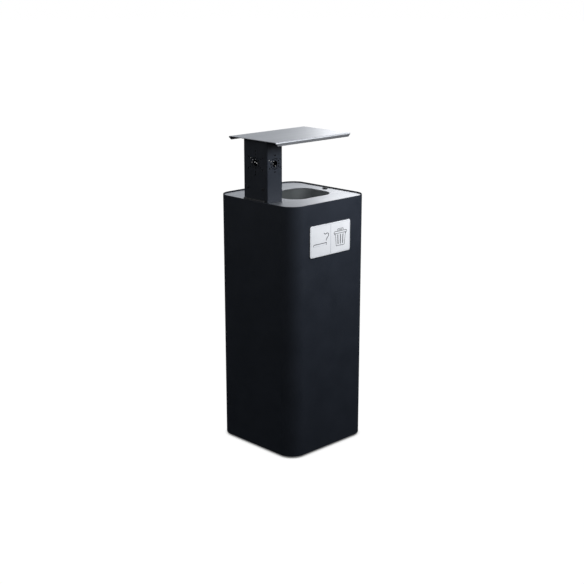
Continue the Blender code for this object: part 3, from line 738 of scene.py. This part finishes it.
def area(points):
    """Area inside an outline, negative where it runs clockwise."""
    total = 0.0
    for index, (u, v) in enumerate(points):
        before = points[index - 1]
        total += before[0] * v - u * before[1]
    return total / 2


def anticlockwise(points):
    return points if area(points) > 0 else points[::-1]


def on_sign(across, down):
    """A point in millimetres right of the sign's left edge and down from its top."""
    low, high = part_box("sign_plate")
    return (low.x + across * MILLIMETRE, high.z - down * MILLIMETRE)


def frame_on_sign(left, top, right, bottom, corner):
    near, far = on_sign(left, bottom), on_sign(right, top)
    return rounded_rect(near[0], far[0], near[1], far[1], corner, 5)


def cigarette_lines():
    """A cigarette seen from the side, with a curl of smoke; each line is (points, width, closed)."""
    burning_end = [on_sign(12.4, 55.4), on_sign(13.4, 52.6), on_sign(16.5, 51.6)]
    filter_end = [on_sign(62.8, 51.6), on_sign(62.4, 57.0)]
    smoke = smooth(
        [
            on_sign(62.0, 45.0),
            on_sign(62.9, 40.7),
            on_sign(67.0, 37.2),
            on_sign(70.6, 32.9),
            on_sign(69.6, 28.0),
            on_sign(65.4, 25.4),
            on_sign(61.3, 26.6),
            on_sign(57.6, 27.4),
            on_sign(53.0, 23.9),
        ]
    )
    return [(burning_end + filter_end, 0.0018, False), (smoke, 0.0021, False)]


def litter_bin_lines():
    """A ribbed bin with a lid and its handle, drawn about one upright middle line."""
    middle = 117.3

    def at(aside, down):
        return on_sign(middle + aside, down)

    def box(half, top, bottom, corner):
        return frame_on_sign(middle - half, top, middle + half, bottom, corner)

    lines = [
        (box(24.8, 27.2, 33.0, 0.0022), 0.0014, True),
        (box(11, 20.6, 27.2, 0.0018), 0.0015, True),
        ([at(-7, 24), at(7, 24)], 0.0014, False),
        ([at(-20, 33.8), at(-16, 67.4), at(16, 67.4), at(20, 33.8)], 0.0014, False),
    ]
    for side in (-1, 1):
        lines.append(([at(side * 24.2, 32), at(side * 21.4, 36.6)], 0.0013, False))
    for rib in (-0.54, 0.0, 0.54):
        lines.append(([at(rib * 19, 37.5), at(rib * 16.6, 62)], 0.0028, False))
    return lines


def make_sign():
    low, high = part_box("sign_plate")
    outline = rounded_rect(low.x, high.x, low.z, high.z, SIGN_CORNER, BEND_STEPS)
    shape = sheet(outline, [], low.y, high.y, SIGN_EDGE, "Y")
    add_piece("fine_sign_plate", shape, "sign_plate")
    border = (inset(outline, SIGN_BORDER), 0.0006, True)
    divider = ([on_sign(79.3, 3.5), on_sign(79.3, 83.5)], 0.0014, False)
    paper = ([on_sign(12.6, 57.2), on_sign(62.0, 57.2)], 0.0006, False)
    print_lines("sign_border", [border, divider, paper], INK_PALE)
    print_lines("sign_pictograms", cigarette_lines() + litter_bin_lines(), INK)


# ---------------------------------------------------------------- lock and screws


def make_lock():
    low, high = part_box("lock_sleeve")
    centre = middle_of("lock_sleeve")
    plug_low, plug_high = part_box("lock_plug")
    bore = (plug_high.x - plug_low.x) / 2 + LOCK_PLUG_ROOM
    head = (high.x - low.x) / 2
    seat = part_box("lid_plate")[1].z + LOCK_SEAT
    profile = (
        (LOCK_SHANK, low.z),
        (LOCK_SHANK, seat),
        (head, seat),
        (head, seat + LOCK_HEAD_SIDE),
        (head - LOCK_CHAMFER, high.z),
        (bore, high.z),
        (bore, low.z),
    )
    shape = bmesh.new()
    rings = []
    for radius, height in profile:
        rings.append(level_ring(shape, circle(centre.x, centre.y, radius, HOLE_SIDES), height))
    skin(shape, [*rings, rings[0]])
    add_piece("fine_lock_sleeve", shape, "lock_sleeve", edge=LOCK_EDGE)
    for node in ("lock_plug", "lock_cam", "cam_screw", "lock_nut"):
        add_refined(node, LOCK_EDGE)


# ---------------------------------------------------------------- the rest, floor, lights, camera


def make_rest():
    for node in (
        "base_plate",
        "lid_ledge_front",
        "lid_ledge_back",
        "lock_keeper",
        "liner_rest_1",
        "liner_rest_2",
        "ash_box_cradle",
        "ash_box",
        "ash_box_bail",
        "hinge_leaf_body",
        "hinge_leaf_lid",
        "hinge_pin",
        "post_bracket",
        "post_screw_front",
        "post_screw_back",
        "canopy_mount_plate",
    ):
        add_refined(node)
    for number in range(1, 5):
        add_refined(f"levelling_foot_{number}")
        add_refined(f"foot_nut_{number}")
        add_refined(f"bracket_screw_{number}")
    for number in (1, 2):
        add_refined(f"canopy_stud_{number}")
        add_refined(f"canopy_nut_{number}")
    for side in ("front", "back"):
        for end in ("hinge_side", "lock_side"):
            add_refined(f"lid_buffer_{side}_{end}")


def add_glowing(name, shape, strength, seen_by_camera=True, in_reflections=False):
    """A matt black stage piece that glows white and lights nothing; returns it and its shader."""
    mesh = bpy.data.meshes.new(name)
    shape.to_mesh(mesh)
    shape.free()
    finish = bpy.data.materials.new(name)
    finish.use_nodes = True
    finish.cycles.emission_sampling = "NONE"
    shader = finish.node_tree.nodes["Principled BSDF"]
    shader.inputs["Base Color"].default_value = (0.0, 0.0, 0.0, 1.0)
    shader.inputs["Roughness"].default_value = 1.0
    shader.inputs["Specular IOR Level"].default_value = 0.0
    shader.inputs["Emission Color"].default_value = (1.0, 1.0, 1.0, 1.0)
    shader.inputs["Emission Strength"].default_value = strength
    mesh.materials.append(finish)
    made = bpy.data.objects.new(name, mesh)
    bpy.context.scene.collection.objects.link(made)
    made.visible_camera = seen_by_camera
    made.visible_glossy = in_reflections
    made.visible_diffuse = False
    made.visible_shadow = False
    return made, shader


def make_floor():
    """A white floor, with a soft shadow only where the bin meets it."""
    shape = bmesh.new()
    shape.faces.new(level_ring(shape, circle(0, 0, FLOOR_RADIUS, FLOOR_SIDES), 0.0))
    _, shader = add_glowing("floor", shape, 1.0)
    tree = shader.id_data
    open_sky = add_node(tree, "ShaderNodeAmbientOcclusion", {"samples": 16}, Distance=CONTACT_REACH)
    touching, clear = 0.10, 1.02
    glow = ranged(tree, open_sky.outputs["AO"], touching, clear, 0.30, 0.85)
    tree.links.new(glow, shader.inputs["Emission Strength"])


def make_backdrop():
    """A white dome that only the camera sees, so that a low view has no horizon."""
    shape = bmesh.new()
    steps = 24
    rings = []
    for step in range(steps):
        angle = math.pi / 2 * step / steps
        radius, height = FLOOR_RADIUS * math.cos(angle), FLOOR_RADIUS * math.sin(angle)
        rings.append(level_ring(shape, circle(0, 0, radius, FLOOR_SIDES), height))
    skin(shape, rings)
    shape.faces.new(rings[-1])
    add_glowing("backdrop", shape, 1.0)


def facing(place, target):
    return (Vector(target) - Vector(place)).to_track_quat("-Z", "Y").to_euler()


def make_cards():
    """White cards that show only in the bin's reflections, from the sides and behind."""
    for name, place, glow in (
        ("card_front", (-2.0, -2.3, 2.4), 0.9),
        ("card_left", (-2.6, 2.0, 2.3), 0.9),
        ("card_right", (2.6, -2.0, 2.3), 0.9),
        ("card_low_behind", (2.8, 2.8, 0.1), 0.5),
    ):
        shape = bmesh.new()
        bmesh.ops.create_grid(shape, x_segments=1, y_segments=1, size=0.5)
        bmesh.ops.scale(shape, vec=(*CARD_SIZE, 1.0), verts=shape.verts)
        card, _ = add_glowing(name, shape, glow, seen_by_camera=False, in_reflections=True)
        card.location = place
        card.rotation_euler = facing(place, (0.0, 0.0, 0.8))


def softbox(name, place, target, size, power, colour=(1.0, 1.0, 1.0), in_reflections=True):
    light = bpy.data.lights.new(name, "AREA")
    light.shape = "RECTANGLE"
    light.size, light.size_y = size
    light.energy = power
    light.color = colour
    lamp = bpy.data.objects.new(name, light)
    lamp.location = place
    lamp.rotation_euler = facing(place, target)
    lamp.visible_camera = False
    lamp.visible_glossy = in_reflections
    bpy.context.scene.collection.objects.link(lamp)


def make_lights():
    above_front, sign = (0.24, -0.68, 1.18), (0.0, -0.15, 0.6)
    bluish = (0.93, 0.965, 1.0)
    softbox("side_softbox", (0.95, 0.35, 1.25), (0.05, 0.0, 0.80), (0.8, 0.8), 2.9)
    softbox("back_card", (2.0, 2.4, 2.1), (0.0, 0.0, 0.8), (3.4, 1.9), 6.0)
    softbox("front_softbox", above_front, sign, (0.9, 0.9), 3.1, bluish)
    softbox("front_wash", above_front, sign, (0.5, 0.5), 9.4, bluish, in_reflections=False)
    softbox("left_fill", (-1.2, 0.35, 1.5), (-0.15, 0.0, 0.7), (0.6, 0.6), 0.8, (0.86, 0.93, 1.0))
    world = bpy.data.worlds.new("studio")
    world.use_nodes = True
    tree = world.node_tree
    background = tree.nodes["Background"]
    background.inputs["Color"].default_value = (0.86, 0.93, 1.0, 1.0)
    coordinates = add_node(tree, "ShaderNodeTexCoord")
    split = add_node(tree, "ShaderNodeSeparateXYZ")
    tree.links.new(coordinates.outputs["Generated"], split.inputs["Vector"])
    below, above = 0.012, 0.33
    glow = ranged(tree, split.outputs["Z"], below, above, -0.05, 0.25)
    tree.links.new(glow, background.inputs["Strength"])
    bpy.context.scene.world = world


def make_camera():
    back = Vector(
        (
            math.sin(YAW) * math.cos(PITCH),
            -math.cos(YAW) * math.cos(PITCH),
            math.sin(PITCH),
        )
    )
    data = bpy.data.cameras.new("camera")
    data.lens = LENS
    camera = bpy.data.objects.new("camera", data)
    camera.location = AIM + back * DISTANCE
    camera.rotation_euler = (-back).to_track_quat("-Z", "Y").to_euler()
    bpy.context.scene.collection.objects.link(camera)
    bpy.context.scene.camera = camera


bpy.context.scene.view_settings.view_transform = "Standard"
make_body()
make_lid()
make_chute()
make_liner()
make_post()
make_canopy()
make_sign()
make_lock()
make_rest()
make_floor()
make_backdrop()
make_cards()
make_lights()
make_camera()
